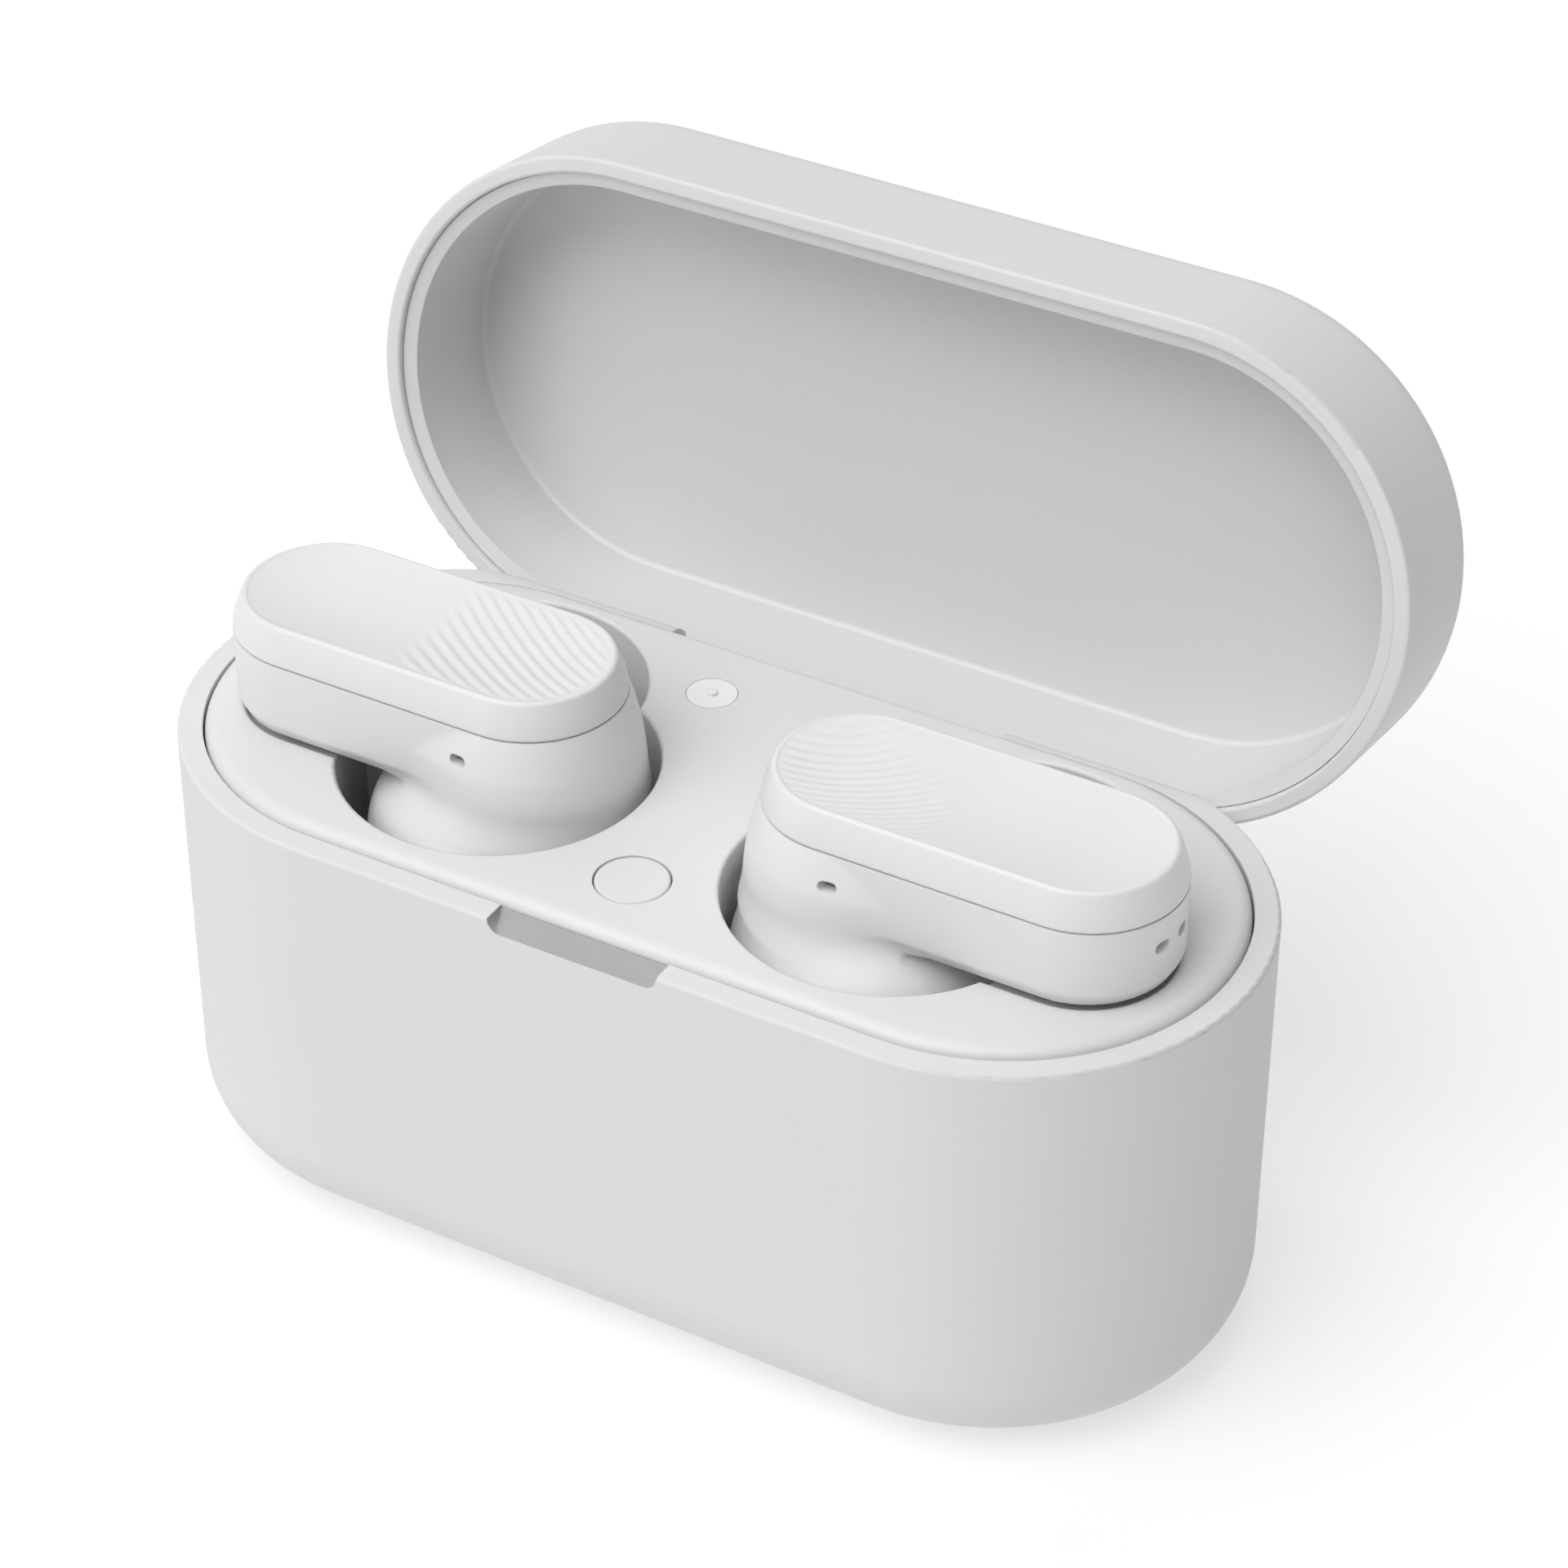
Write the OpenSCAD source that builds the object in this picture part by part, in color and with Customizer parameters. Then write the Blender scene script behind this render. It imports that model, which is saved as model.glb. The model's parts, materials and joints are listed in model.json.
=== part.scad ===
// Wireless earbuds charging case, standing with its lid open and both buds seated.
// Frame: origin at the centre of the flat bottom, +X to the right earbud, -Y the front, +Z up.
// All sizes in mm.

/* [Case] */
// Overall length of the case
case_len = 62; // [60:1:72]
// Overall depth of the case, front to back
case_depth = 28.4; // [28.2:0.2:32]
// Height of the lower half, floor to rim
base_h = 25.8; // [25:0.2:32]
// Height of the lid, rim plane to top
lid_h = 9.3; // [9:0.1:12]
// Wall of the lower shell
wall = 1.35; // [1.2:0.05:1.4]
// Floor of the lower shell
floor_t = 1.2; // [1:0.1:1.3]
// Rounding of the bottom edge
foot_round = 4.9; // [3:0.1:6]
// Rounding of the lid's top edge
crown_round = 2.4; // [1.5:0.1:3]
// Rounding of the two rims' outer edges
rim_ease = 0.2; // [0.1:0.05:0.3]
// Gap between lid rim and base rim when shut
rim_gap = 0.15; // [0.1:0.05:0.3]

/* [Lid] */
// Angle the lid stands open at
open_angle = 98.9; // [95:0.1:99]
// Wall of the outer lid shell
lid_wall = 0.95; // [0.8:0.05:1]
// Inset of the lid cavity from the outer face
cavity_inset = 1.75; // [1.6:0.05:2]
// Depth of the lid cavity below the lid rim
cavity_deep = 7.5; // [7.2:0.1:8]
// Depth of the sloped step inside the lid rim
step_deep = 0.6; // [0.3:0.1:1]
// Slack between two glued pieces
glue_gap = 0.03; // [0.02:0.01:0.05]

/* [Hinge] */
// Hinge axis in from the back face
axis_in = 1.57; // [1.5:0.01:1.7]
// Hinge axis below the rim
axis_down = 1.88; // [1.8:0.01:2]
// Radius of the hinge pin
pin_r = 0.5; // [0.4:0.05:0.55]
// Radius of the hinge barrel
barrel_r = 1.05; // [0.95:0.05:1.1]
// Half width of the hinge tongue
tongue_half = 9.9; // [7:0.1:10]
// Running clearance on the pin
run_fit = 0.04; // [0.02:0.01:0.08]
// Gap between moving surfaces
move_gap = 0.25; // [0.2:0.05:0.4]

/* [Deck] */
// Gap between shell wall and deck
deck_gap = 0.1; // [0.06:0.02:0.16]
// Height of the deck above the rim
deck_proud = 0.4; // [0.2:0.1:0.5]
// Thickness of the deck plate
plate_t = 1; // [0.9:0.1:1.1]
// Rounding of the deck's top edge
deck_round = 0.8; // [0.4:0.1:0.9]
// Rounding of the pockets' top edges
pocket_ease = 0.2; // [0.1:0.05:0.25]
// Inset of the stem recess from the stem's side
recess_in = 0.35; // [0.2:0.05:0.5]
// Wall of the earbud cups
cup_wall = 0.8; // [0.6:0.1:0.9]
// Depth of the stem recess in the deck
stem_sink = 0.5; // [0.3:0.1:0.6]
// Radius of a side mark
mark_r = 1.4; // [1:0.1:1.8]
// Distance of a side mark from the centre line
mark_x = 4.93; // [4:0.1:6]
// Side mark position front to back
mark_y = 8.2; // [6:0.1:9]

/* [Earbud] */
// Earbud centre from the case centre line
bud_x = 16.13; // [16:0.05:17]
// Earbud centre front to back
bud_y = -2; // [-2.4:0.1:-1.6]
// Half length of the earbud's outer face
bud_half = 11.44; // [10:0.1:11.6]
// End radius of the earbud's outer face
bud_r = 5.1; // [4.8:0.1:5.2]
// Parting line above the rim
part_up = 5.2; // [5:0.1:5.4]
// Height of the touch cover
cover_h = 2.05; // [1.6:0.05:2.1]
// Underside of the stem above the rim
stem_up = 0.55; // [0.5:0.05:0.9]
// Wall of the earbud housing
bud_wall = 0.8; // [0.6:0.05:0.9]
// Radius of the in-ear dome
dome_r = 7.65; // [7:0.05:7.8]
// Radius of the speaker lobe
lobe_r = 6; // [5.6:0.1:6.4]
// Radius of the sound nozzle
nozzle_r = 2.3; // [2:0.1:2.6]
// Radius of the ear tip
tip_r = 5.9; // [5:0.1:6.2]

/* [Inside] */
// Radius of the pairing button
button_r = 1.97; // [1.6:0.05:2.1]
// Travel of the pairing button
button_travel = 0.3; // [0.2:0.05:0.35]
// Radius of a charging pin's plunger
plunger_r = 0.4; // [0.3:0.05:0.45]
// Distance between a bud's two charging pins
pin_pitch = 3; // [2.6:0.1:3.2]
// Thickness of the battery
battery_t = 5; // [4:0.1:5.2]
// Thickness of the main board
board_t = 0.8; // [0.6:0.1:0.8]

/* [Hidden] */
$fn = 96;

WHITE = [0.88, 0.87, 0.87];
PALE = [0.93, 0.93, 0.93];
STEEL = [0.7, 0.7, 0.72];
GOLD = [0.85, 0.68, 0.3];
GREEN = [0.1, 0.35, 0.22];
DARK = [0.2, 0.2, 0.22];

// Plan of the case: two half circles joined by a straight part.
shell_r = case_depth / 2;
mid_half = case_len / 2 - shell_r;

// Heights.
rim = base_h;
deck_top = rim + deck_proud;
plate_z = deck_top - plate_t;
lid_rim = rim + rim_gap;
lid_top = rim + lid_h + rim_gap;
axis_y = shell_r - axis_in;
axis_z = rim - axis_down;
rim_sweep = axis_down + rim_gap - 0.18;

// Deck.
deck_r = shell_r - wall - deck_gap;
skirt_t = 0.8;
skirt_z = rim - 3.3;
shelf_t = 1.5;

// Earbud, drawn for the left side.
part_z = rim + part_up;
stem_z = rim + stem_up;
neck_x = -(bud_x - bud_half + bud_r);
dome_at = [neck_x - 1.3, bud_y - 0.4];
dome_z = rim - 8.2;
dome_top = rim + 0.5;
neck_z = rim - 3.8;
neck_grow = 1.25;
dome_flat = 4.1;
dome_foot = dome_r - dome_flat;
dome_brow = 4.2;
lobe_at = [dome_at[0] - 3.49, dome_at[1] + 5.6];
lobe_z = rim - 10.2;
lobe_top = rim - 0.2;
nozzle_z = lobe_z - 3.6;
tip_z = lobe_z - 4.8;
dish_deep = 0.4;
face_r = bud_r - 0.8;
dish_r = (face_r * face_r + dish_deep * dish_deep) / (2 * dish_deep);

// Pockets in the deck. The well clears both the dome and the neck above it.
well_at = [dome_at[0] - 0.6, dome_at[1] - 0.1];
neck_reach = norm([neck_x, bud_y] - well_at) + bud_r + neck_grow;
well_r = max(dome_r + 0.95, neck_reach + move_gap);
well_z = dome_z - 0.7;
bay_at = [lobe_at[0] - 0.8, lobe_at[1] + 0.5];
bay_r = lobe_r + 1.9;
bay_z = lobe_z - 0.6;
pit_r = tip_r + 0.8;
pit_z = tip_z - 0.5;

// Charging pins and the magnets beside them.
pad_y = dome_at[1] - dome_flat + 1.2;
pad_x = dome_at[0] + 0.35;
pad_r = 0.6;
barrel_bore = plunger_r + run_fit;
pin_barrel_r = plunger_r + 0.25;
pin_board_z = well_z - 4.9;
pin_board_t = 0.6;
magnet_at = [dome_at[0] + dome_flat - 0.55, dome_at[1] - 0.5];
magnet_r = 1.4;
magnet_h = 1.2;

// Half width left free between the two wells at y.
function beside_well(y) =
  -well_at[0] - 0.24 - sqrt(max(0, pow(well_r + cup_wall, 2) - pow(y - well_at[1], 2)));

// Button stack.
button_y = bud_y - 6.2;
flange_top = plate_z - 0.05;
flange_z = flange_top - 0.6;
stem_end = flange_z - 1.25;
switch_z = stem_end - 1.6 - button_travel;
switch_h = 1.4;
button_board_z = switch_z - 0.6;
bench_y = well_at[1] - 8.8;
bench_half = beside_well(bench_y + 1);
bench_x = bench_half - 1.2;
tab_half = beside_well(button_y + 1.8);

// Boards and battery in the bottom.
board_z = floor_t + battery_t + 1.7;
board_top = board_z + board_t;
boss_x = 19.5;
boss_y = [-6, 8];
tab_back = shell_r - 1.9;
usb_z = board_top + 0.05;
usb_half = 4.47;
usb_r = 1.58;
usb_back = shell_r - 0.3;
flex_y = -(shell_r - wall - 0.3);

module pill2(half, r) {
  translate([-(half - r), -r]) square([2 * (half - r), 2 * r]);
  for (s = [-1, 1]) translate([s * (half - r), 0]) circle(r);
}

// A section, radius across and height up, with its outer corners rounded.
module eased(r, z0, z1, low = 0, high = 0) {
  difference() {
    translate([0, z0]) square([r, z1 - z0]);
    if (low > 0) difference() {
      translate([r - low, z0 - 1]) square([low + 1, low + 1]);
      translate([r - low, z0 + low]) circle(low);
    }
    if (high > 0) difference() {
      translate([r - high, z1 - high]) square([high + 1, high + 1]);
      translate([r - high, z1 - high]) circle(high);
    }
  }
}

// Section of an opening, r across and cut from z0 up, that leaves a rounded edge at `top`.
module flared(r, z0, top, low = 0) {
  eased(r, z0, top + 1, low);
  difference() {
    translate([0, top - pocket_ease]) square([r + pocket_ease, pocket_ease + 1]);
    translate([r + pocket_ease, top - pocket_ease]) circle(pocket_ease);
  }
}

// Carries a section around a stadium whose straight half is `run`.
module stadium(run) {
  for (s = [-1, 1])
    translate([s * run, 0, 0]) rotate([0, 0, -90 * s]) rotate_extrude(angle = 180) children();
  rotate([90, 0, 90]) translate([0, 0, -run]) linear_extrude(2 * run) {
    children();
    mirror([1, 0]) children();
  }
}

module along_x(half, r) {
  rotate([0, 90, 0]) cylinder(h = 2 * half, r = r, center = true);
}

module at_hinge() {
  translate([0, axis_y, axis_z]) children();
}

module opened() {
  at_hinge() rotate([-open_angle, 0, 0]) translate([0, -axis_y, -axis_z]) children();
}

module post(at, z0, z1, r) {
  translate([at[0], at[1], z0]) cylinder(h = z1 - z0, r = r);
}

module both_sides() {
  children();
  mirror([1, 0, 0]) children();
}

// ---- lower half ----

module cup_walls(extra) {
  post(well_at, well_z - cup_wall - extra, rim, well_r + cup_wall + extra);
  post(bay_at, bay_z - cup_wall - extra, rim, bay_r + cup_wall + extra);
}

module boss_places() {
  for (x = [-boss_x, boss_x], y = boss_y) translate([x, y, 0]) children();
}

module hinge_ears() {
  difference() {
    for (s = [-1, 1]) translate([s * (tongue_half + move_gap + 1.25), axis_y - 0.75, axis_z - 1.6])
      translate([-1.25, 0, 0]) cube([2.5, 1.4, 2.8]);
    both_sides() cup_walls(0.05);
  }
}

module end_shelves() {
  for (s = [-1, 1]) translate([s * (case_len / 2 - wall - 0.6), 0, skirt_z - 0.05 - shelf_t / 2])
    cube([2, 8, shelf_t], center = true);
}

// The lid's rim swings round the hinge axis, so the back edge follows that circle.
module back_relief() {
  difference() {
    translate([-mid_half - 8, axis_y, axis_z]) cube([2 * mid_half + 16, 3, axis_down + 1]);
    at_hinge() along_x(mid_half + 9, rim_sweep);
  }
}

module finger_notch() {
  intersection() {
    rotate([90, 0, 0]) linear_extrude(shell_r + 1) difference() {
      translate([-4.95, rim - 0.85]) square([9.9, 2]);
      for (s = [-1, 1]) difference() {
        translate([s * 4.95 - 0.8, rim - 0.86]) square([1.6, 0.81]);
        translate([s * 4.15, rim - 0.05]) circle(0.8);
      }
    }
    rotate([90, 0, 90]) translate([0, 0, -6]) linear_extrude(12)
      polygon([[-shell_r - 1, rim - 1.15], [-shell_r + wall - 0.45, rim - 0.55],
        [-shell_r + wall + 0.05, rim - 0.1], [-shell_r + wall + 0.05, rim + 2], [-shell_r - 1, rim + 2]]);
  }
}

module base_shell() {
  color(WHITE) difference() {
    union() {
      difference() {
        stadium(mid_half) eased(shell_r, 0, rim, foot_round, rim_ease);
        stadium(mid_half) eased(shell_r - wall, floor_t, rim + 1, foot_round - wall);
      }
      boss_places() translate([0, 0, floor_t - 0.1]) cylinder(h = board_z - floor_t + 0.08, r = 1.6);
      hinge_ears();
      end_shelves();
    }
    boss_places() translate([0, 0, board_z - 4]) cylinder(h = 5, r = 0.52);
    back_relief();
    translate([-tongue_half - move_gap, axis_y - 0.05, axis_z - axis_in - 0.45])
      cube([2 * (tongue_half + move_gap), 3, axis_down + 4]);
    at_hinge() along_x(tongue_half + move_gap + 2.3, pin_r + 0.01);
    finger_notch();
    translate([0, shell_r + 1, usb_z + usb_r]) rotate([90, 0, 0])
      linear_extrude(wall + 1.5) pill2(usb_half + 0.17, usb_r + 0.17);
  }
}

module cups() {
  translate([well_at[0], well_at[1], 0]) rotate_extrude()
    eased(well_r + cup_wall, well_z - cup_wall, plate_z + 0.1, 3.8);
  translate([bay_at[0], bay_at[1], 0]) rotate_extrude()
    eased(bay_r + cup_wall, bay_z - cup_wall, plate_z + 0.1, 2);
  translate([lobe_at[0], lobe_at[1], 0]) rotate_extrude()
    eased(pit_r + cup_wall, pit_z - cup_wall, bay_z, 2.4);
}

module pockets() {
  translate([well_at[0], well_at[1], 0]) rotate_extrude() flared(well_r, well_z, deck_top, 3);
  translate([bay_at[0], bay_at[1], 0]) rotate_extrude() flared(bay_r, bay_z, deck_top, 1.2);
  translate([lobe_at[0], lobe_at[1], 0]) rotate_extrude() eased(pit_r, pit_z, bay_z + 1, 1.6);
  translate([-bud_x, bud_y, 0]) stadium(bud_half - bud_r)
    flared(bud_r - recess_in, deck_top - stem_sink, deck_top);
}

module pad_places() {
  for (s = [-1, 1]) translate([pad_x + s * pin_pitch / 2, pad_y, 0]) children();
}

module charging_deck() {
  color(WHITE) difference() {
    union() {
      stadium(mid_half) difference() {
        eased(deck_r, skirt_z, deck_top, 0, deck_round);
        translate([0, skirt_z - 1]) square([deck_r - skirt_t, plate_z - skirt_z + 1]);
      }
      both_sides() cups();
      for (s = [-1, 1]) post([s * bench_x, bench_y], button_board_z + 0.62, plate_z + 0.1, 1.1);
    }
    both_sides() pockets();
    both_sides() pad_places() translate([0, 0, well_z - 2]) cylinder(h = 4, r = pin_barrel_r + 0.02);
    post([0, button_y], plate_z - 1, deck_top + 1, button_r + 0.08);
    for (s = [-1, 1]) post([s * mark_x, mark_y], deck_top - 0.6, deck_top + 1, mark_r + 0.02);
    for (s = [-1, 1]) post([s * bench_x, bench_y], button_board_z, button_board_z + 4, 0.47);
    translate([-tongue_half - move_gap - 2.7, axis_y - barrel_r - move_gap, skirt_z - 1])
      cube([2 * (tongue_half + move_gap + 2.7), 3, plate_z - skirt_z + 1]);
  }
}

module side_mark() {
  post([-mark_x, mark_y], deck_top - 0.58, deck_top, mark_r);
}

module left_side_mark() {
  color(PALE) {
    side_mark();
    post([-mark_x, mark_y], deck_top - 0.1, deck_top + 0.12, 0.3);
  }
}

module right_side_mark() {
  color(PALE) mirror([1, 0, 0]) side_mark();
}

module case_battery() {
  color(STEEL) translate([-17, -9, floor_t + 0.55]) cube([34, 16, battery_t]);
}

module battery_pad() {
  color(DARK) translate([-16, -8, floor_t + 0.02]) cube([32, 14, 0.5]);
}

module battery_lead() {
  low = floor_t + battery_t - 0.6;
  translate([17.05, 0, low]) rotate([0, 90, 0]) cylinder(h = 0.35, r = 0.35);
  translate([17.4, 0, low + 0.8]) rotate([90, 0, 0]) rotate([0, 0, -90])
    rotate_extrude(angle = 90) translate([0.8, 0]) circle(0.35);
  translate([18.2, 0, low + 0.8]) cylinder(h = board_z - low - 0.85, r = 0.35);
}

module battery_leads() {
  color(DARK) for (y = [0, 1.2]) translate([0, y, 0]) battery_lead();
}

module main_board() {
  color(GREEN) {
    difference() {
      translate([0, 0, board_z]) linear_extrude(board_t) union() {
        translate([-22, -8]) square([44, 18]);
        translate([-6, 9]) square([12, tab_back - 9]);
      }
      boss_places() translate([0, 0, board_z - 1]) cylinder(h = 3, r = 0.65);
    }
    translate([-4, -3.5, board_top - 0.05]) cube([5, 5, 0.65]);
  }
}

module screw(shank_r, len, head_r, head_h) {
  translate([0, 0, -len]) cylinder(h = len + 0.1, r = shank_r);
  difference() {
    cylinder(h = head_h, r = head_r);
    for (a = [0, 90]) rotate([0, 0, a])
      translate([-head_r * 0.55, -0.12, head_h * 0.5]) cube([head_r * 1.1, 0.24, head_h]);
  }
}

module board_screws() {
  color(STEEL) boss_places() translate([0, 0, board_top + 0.02]) screw(0.5, 4, 1.05, 0.55);
}

module usb_shell() {
  color(STEEL) translate([0, usb_back, usb_z + usb_r]) rotate([90, 0, 0]) difference() {
    linear_extrude(7) pill2(usb_half, usb_r);
    translate([0, 0, -1]) linear_extrude(7.6) pill2(usb_half - 0.3, usb_r - 0.3);
  }
}

module usb_tongue() {
  color(DARK) {
    translate([-3.35, usb_back - 5.6, usb_z + usb_r - 0.35]) cube([6.7, 4.6, 0.7]);
    translate([0, usb_back - 5.55, usb_z + usb_r]) rotate([90, 0, 0])
      linear_extrude(1) pill2(usb_half - 0.32, usb_r - 0.32);
  }
}

module button_board() {
  color(GREEN) difference() {
    translate([0, 0, button_board_z]) linear_extrude(0.6) union() {
      translate([-bench_half, bench_y - 1]) square([2 * bench_half, 2]);
      translate([-tab_half, bench_y]) square([2 * tab_half, button_y + 1.8 - bench_y]);
    }
    for (s = [-1, 1]) post([s * bench_x, bench_y], button_board_z - 1, button_board_z + 2, 0.55);
  }
}

module button_screws() {
  color(STEEL) for (s = [-1, 1]) translate([s * bench_x, bench_y, button_board_z - 0.02])
    mirror([0, 0, 1]) screw(0.45, 3.5, 0.9, 0.45);
}

module switch_body() {
  color(DARK) difference() {
    translate([-1.5, button_y - 1.5, switch_z + 0.02]) cube([3, 3, switch_h]);
    post([0, button_y], switch_z + 1 - button_travel, switch_z + 3, 0.8);
  }
}

module link_flex() {
  t = 0.15;
  up = button_board_z - 0.05;
  low = board_top + 0.05;
  color(GOLD) rotate([90, 0, 90]) translate([0, 0, -2]) linear_extrude(4)
    polygon([[-7.2, low], [flex_y, low], [flex_y, up], [bench_y + 1, up], [bench_y + 1, up - t],
      [flex_y + t, up - t], [flex_y + t, low + t], [-7.2, low + t]]);
}

module pin_board() {
  translate([pad_x - 2.9, pad_y - 1.5, pin_board_z]) cube([5.8, 2.4, pin_board_t]);
}

module left_pin_board() {
  color(GREEN) pin_board();
}

module right_pin_board() {
  color(GREEN) mirror([1, 0, 0]) pin_board();
}

module pin_barrels() {
  z0 = pin_board_z + pin_board_t + 0.02;
  pad_places() difference() {
    translate([0, 0, z0]) cylinder(h = well_z - z0, r = pin_barrel_r);
    translate([0, 0, z0 + 0.5]) cylinder(h = 9, r = barrel_bore);
  }
}

module left_pin_barrels() {
  color(GOLD) pin_barrels();
}

module right_pin_barrels() {
  color(GOLD) mirror([1, 0, 0]) pin_barrels();
}

module plunger(s) {
  z0 = pin_board_z + pin_board_t + 1.2;
  z1 = dome_z - 0.05;
  translate([pad_x + s * pin_pitch / 2, pad_y, z0]) {
    cylinder(h = z1 - z0 - 0.2, r = plunger_r);
    cylinder(h = z1 - z0, r = plunger_r - 0.15);
  }
}

module left_pin_inner() {
  color(GOLD) plunger(1);
}

module left_pin_outer() {
  color(GOLD) plunger(-1);
}

module right_pin_inner() {
  color(GOLD) mirror([1, 0, 0]) plunger(1);
}

module right_pin_outer() {
  color(GOLD) mirror([1, 0, 0]) plunger(-1);
}

module case_magnet() {
  post(magnet_at, well_z - cup_wall - 0.05 - magnet_h, well_z - cup_wall - 0.05, magnet_r);
}

module left_case_magnet() {
  color(STEEL) case_magnet();
}

module right_case_magnet() {
  color(STEEL) mirror([1, 0, 0]) case_magnet();
}

module base_latch_magnet() {
  color(STEEL) translate([-2.5, -deck_r + skirt_t + 0.05, plate_z - 1.65]) cube([5, 1, 1.6]);
}

module hinge_pin() {
  color(STEEL) at_hinge() along_x(tongue_half + move_gap + 2.25, pin_r);
}

module pairing_button() {
  color(WHITE) {
    translate([0, button_y, 0]) rotate_extrude() eased(button_r, flange_z, deck_top, 0, 0.12);
    post([0, button_y], flange_z, flange_top, button_r + 0.35);
    post([0, button_y], stem_end, flange_z + 0.1, 0.9);
  }
}

module switch_plunger() {
  color(DARK) post([0, button_y], switch_z + 1.1, stem_end - 0.02, 0.72);
}

// ---- lid, drawn shut and then swung open ----

module lid_shell() {
  color(WHITE) opened() difference() {
    stadium(mid_half) eased(shell_r, lid_rim, lid_top, rim_ease, crown_round);
    stadium(mid_half) eased(shell_r - lid_wall, lid_rim - 1, lid_top - lid_wall, 0,
      crown_round - lid_wall);
    stadium(mid_half) difference() {
      translate([0, lid_rim - 1]) square([shell_r - lid_wall + rim_ease, 1 + rim_ease]);
      translate([shell_r - lid_wall + rim_ease, lid_rim + rim_ease]) circle(rim_ease);
    }
  }
}

module lid_liner() {
  out = shell_r - lid_wall - glue_gap;
  cave = shell_r - cavity_inset;
  top = lid_top - lid_wall - glue_gap;
  roof = lid_rim + cavity_deep;
  color(WHITE) opened() difference() {
    stadium(mid_half) difference() {
      eased(out, lid_rim + glue_gap, top, 0, crown_round - lid_wall - glue_gap);
      eased(cave, lid_rim - 1, roof, 0, 0.3);
      polygon([[cave - 1, lid_rim - 1], [out + 1, lid_rim - 1], [out + 1, lid_rim + step_deep - 0.25],
        [out, lid_rim + step_deep - 0.25], [cave, lid_rim + step_deep], [cave - 1, lid_rim + step_deep]]);
    }
    translate([-2.55, -out - 1, lid_rim + 1.2]) cube([5.1, 1.55, 3.1]);
    translate([-8.1, out - 0.47, lid_rim - 1]) cube([16.2, 1, 4.7]);
  }
}

module hinge_tongue() {
  face = shell_r - lid_wall - glue_gap;
  color(WHITE) opened() difference() {
    union() {
      at_hinge() along_x(tongue_half, barrel_r);
      translate([-tongue_half, axis_y + 0.3, axis_z - 0.75])
        cube([2 * tongue_half, axis_in - 0.3, axis_down + rim_gap + 0.75 - glue_gap]);
      translate([-8, face - 0.45, axis_z]) cube([16, 0.4, axis_down + rim_gap + 3.6]);
    }
    at_hinge() along_x(tongue_half + 1, pin_r + run_fit);
  }
}

module lid_latch_magnet() {
  color(STEEL) opened()
    translate([-2.5, -(shell_r - lid_wall - glue_gap) + 0.02, lid_rim + 1.25]) cube([5, 0.5, 3]);
}

// ---- earbuds, drawn for the left and mirrored ----

// The outside of the housing taken in by `off`; `top` ends the stem part.
module bud_mass(off, top) {
  translate([-bud_x, bud_y, 0]) stadium(bud_half - bud_r)
    eased(bud_r - off, stem_z + off, top, 0.9 - min(off, 0.6));
  translate([neck_x, bud_y, neck_z + off])
    cylinder(h = part_z - neck_z - off, r1 = bud_r + neck_grow - off, r2 = bud_r - off);
  translate([dome_at[0], dome_at[1], 0]) rotate_extrude()
    eased(dome_r - off, dome_z + off, dome_top - off, dome_foot - off, dome_brow - off);
  translate([lobe_at[0], lobe_at[1], 0]) rotate_extrude()
    eased(lobe_r - off, lobe_z + off, lobe_top - off, 3 - off, 2.4 - off);
}

module mic_slot(at, grow, deep, len) {
  translate([at[0], bud_y - bud_r - 0.4 + deep, at[1]]) rotate([90, 0, 0])
    linear_extrude(len) pill2(0.5 + grow, 0.3 + grow);
}

mic_at = [neck_x - 1.1, rim + 3.5];

module end_dents() {
  for (a = [-16, 5, 25]) translate([-(bud_x + bud_half - bud_r), bud_y, rim + 3.4])
    rotate([0, 0, -a]) translate([-bud_r - 0.5, 0, 0]) rotate([90, 0, 90])
      linear_extrude(0.9) pill2(0.5, 0.32);
}

module housing() {
  difference() {
    union() {
      bud_mass(0, part_z);
      post(lobe_at, nozzle_z, lobe_z + 1.5, nozzle_r);
    }
    difference() {
      bud_mass(bud_wall, part_z + 1);
      for (x = [3.4, 7.9]) post([-bud_x - x, bud_y], stem_z, part_z - 1.62, 0.9);
    }
    post(lobe_at, nozzle_z - 1, lobe_z + 2, nozzle_r - 0.7);
    pad_places() translate([0, 0, dome_z - 1]) cylinder(h = 3, r = pad_r + 0.01);
    mic_slot(mic_at, 0, 1.9, 3);
    end_dents();
  }
}

module touch_cover() {
  top = part_z + cover_h;
  translate([-bud_x, bud_y, 0]) stadium(bud_half - bud_r) difference() {
    polygon([[0, part_z + 0.03], [bud_r, part_z + 0.03], [bud_r, part_z + 0.2],
      [bud_r - 0.42, top - 0.3], [face_r + 0.12, top], [0, top]]);
    translate([0, top - dish_deep + dish_r]) circle(dish_r);
    translate([0, part_z - 1]) square([bud_r - bud_wall, 1.9]);
  }
}

module circuit() {
  translate([-bud_x, bud_y, part_z - 1.6]) linear_extrude(0.6) pill2(bud_half - 1.5, bud_r - 1.2);
}

module cell() {
  post(dome_at, rim - 4.8, rim - 0.8, dome_r - 2.95);
}

module driver() {
  post(lobe_at, lobe_z + 2.3, lobe_z + 5.2, lobe_r - 1.6);
}

module contacts() {
  pad_places() translate([0, 0, dome_z]) cylinder(h = bud_wall + 0.2, r = pad_r);
}

module bud_magnet() {
  post(magnet_at, dome_z + 1.2, dome_z + 1.2 + magnet_h, magnet_r);
}

module mic_mesh() {
  mic_slot(mic_at, -0.02, 0.8, 0.2);
}

module speaker_mesh() {
  post(lobe_at, nozzle_z + 0.05, nozzle_z + 0.25, nozzle_r - 0.72);
}

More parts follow.
